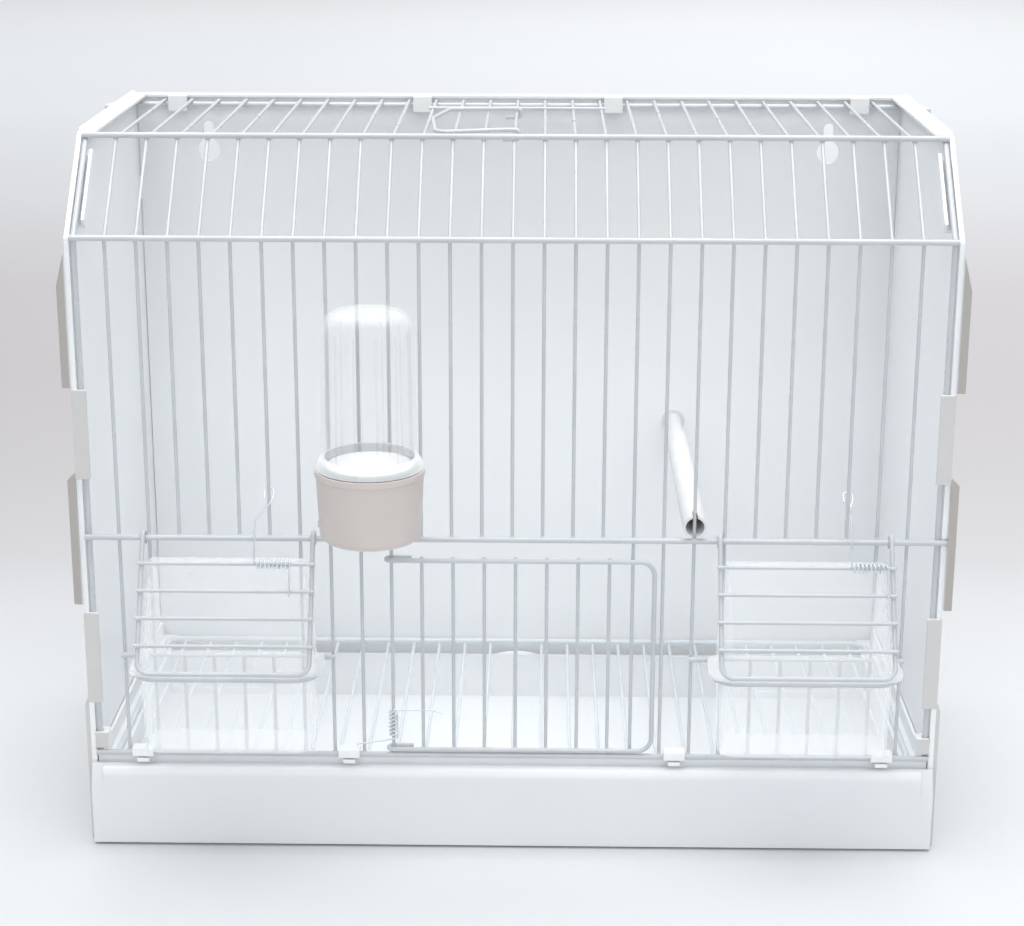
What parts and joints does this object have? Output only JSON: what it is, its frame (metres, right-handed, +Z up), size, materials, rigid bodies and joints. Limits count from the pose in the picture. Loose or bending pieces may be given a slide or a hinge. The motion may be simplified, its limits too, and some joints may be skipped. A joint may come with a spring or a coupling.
{
  "type": "bird show cage",
  "caption": "Bird show cage with plastic shell, slanted wire front, sprung door and feeder flaps, clear cups, clip-on drinker, perch, floor grille and slide-out tray.",
  "frame": {"origin": "on the floor, in the middle of the whole object's box", "axes": "+X to the right along the front, +Y to the back panel, +Z up"},
  "size_m": [0.364, 0.2105, 0.3002],
  "materials": {
    "white_wire": "gloss white coating on steel wire",
    "white_plastic": "smooth white moulded plastic",
    "perch_plastic": "satin white plastic tube",
    "spring_steel": "bright zinc plated wire",
    "clear_plastic": "clear moulded polystyrene",
    "ivory_plastic": "warm white moulded plastic"
  },
  "bodies": {
    "cage": {"cross_rails": "white_wire", "upper_front_bars": "white_wire", "slant_bars": "white_wire", "roof_bars": "white_wire", "lower_bars_left": "white_wire", "lower_bars_mid_left": "white_wire", "lower_bars_mid_right": "white_wire", "lower_bars_right": "white_wire", "left_short_bars": "white_wire", "right_short_bars": "white_wire", "feeder_sill_rails": "white_wire", "roof_rod": "white_wire", "floor_grille_rails": "white_wire", "floor_grille_wires": "white_wire", "left_basket": "white_wire", "right_basket": "white_wire", "back_panel": "white_plastic", "left_side_panel": "white_plastic", "right_side_panel": "white_plastic", "base_frame": "white_plastic", "perch_peg": "perch_plastic", "door_spring": "spring_steel", "left_cup": "clear_plastic", "right_cup": "clear_plastic"},
    "tray": {"tray": "white_plastic"},
    "door": {"door_frame": "white_wire", "door_bars": "white_wire", "door_spring_arm": "spring_steel"},
    "left_flap": {"left_flap_frame": "white_wire", "left_flap_bars": "white_wire", "left_flap_spring": "spring_steel"},
    "left_hook": {"left_flap_hook": "spring_steel"},
    "right_flap": {"right_flap_frame": "white_wire", "right_flap_bars": "white_wire", "right_flap_spring": "spring_steel"},
    "right_hook": {"right_flap_hook": "spring_steel"},
    "drinker": {"drinker_base": "ivory_plastic"},
    "drinker_tube": {"drinker_tube": "clear_plastic"},
    "perch": {"perch": "perch_plastic"},
    "handle": {"roof_handle": "white_wire"}
  },
  "joints": [
    {"name": "tray_slide", "type": "slide", "parent": "cage", "child": "tray", "axis": [0, -1, 0], "range_m": [0, 0.14]},
    {"name": "door_hinge", "type": "hinge", "parent": "cage", "child": "door", "pos_m": [-0.05, -0.05775, 0.085], "axis": [0, 0, -1], "range_deg": [0, 100], "stiffness_Nm_per_rad": 0.02, "springref_deg": -17.19},
    {"name": "drinker_slide", "type": "slide", "parent": "cage", "child": "drinker", "axis": [0, -1, 0], "range_m": [0, 0.04]},
    {"name": "tube_lift", "type": "slide", "parent": "drinker", "child": "drinker_tube", "axis": [0, 0, 1], "range_m": [0, 0.035]},
    {"name": "perch_slide", "type": "slide", "parent": "cage", "child": "perch", "axis": [0, 1, 0], "range_m": [0, 0.02]},
    {"name": "handle_swing", "type": "hinge", "parent": "cage", "child": "handle", "pos_m": [0, 0.02525, 0.2965], "axis": [0, 1, 0], "range_deg": [0, 160]},
    {"name": "left_flap_hinge", "type": "hinge", "parent": "cage", "child": "left_flap", "pos_m": [-0.11695, -0.05955, 0.1372], "axis": [-1, 0, 0], "range_deg": [0, 70], "stiffness_Nm_per_rad": 0.01, "springref_deg": -22.92},
    {"name": "left_hook_turn", "type": "hinge", "parent": "left_flap", "child": "left_hook", "pos_m": [-0.10495, -0.06871, 0.12913], "axis": [-1, 0, 0], "range_deg": [-64.4, 0]},
    {"name": "right_flap_hinge", "type": "hinge", "parent": "cage", "child": "right_flap", "pos_m": [0.12055, -0.05955, 0.1372], "axis": [-1, 0, 0], "range_deg": [0, 70], "stiffness_Nm_per_rad": 0.01, "springref_deg": -22.92},
    {"name": "right_hook_turn", "type": "hinge", "parent": "right_flap", "child": "right_hook", "pos_m": [0.13255, -0.06871, 0.12913], "axis": [-1, 0, 0], "range_deg": [-64.4, 0]}
  ],
  "couplings": [
    {"joint": "left_hook_turn", "follows": "left_flap_hinge", "ratio": -0.92},
    {"joint": "right_hook_turn", "follows": "right_flap_hinge", "ratio": -0.92}
  ]
}
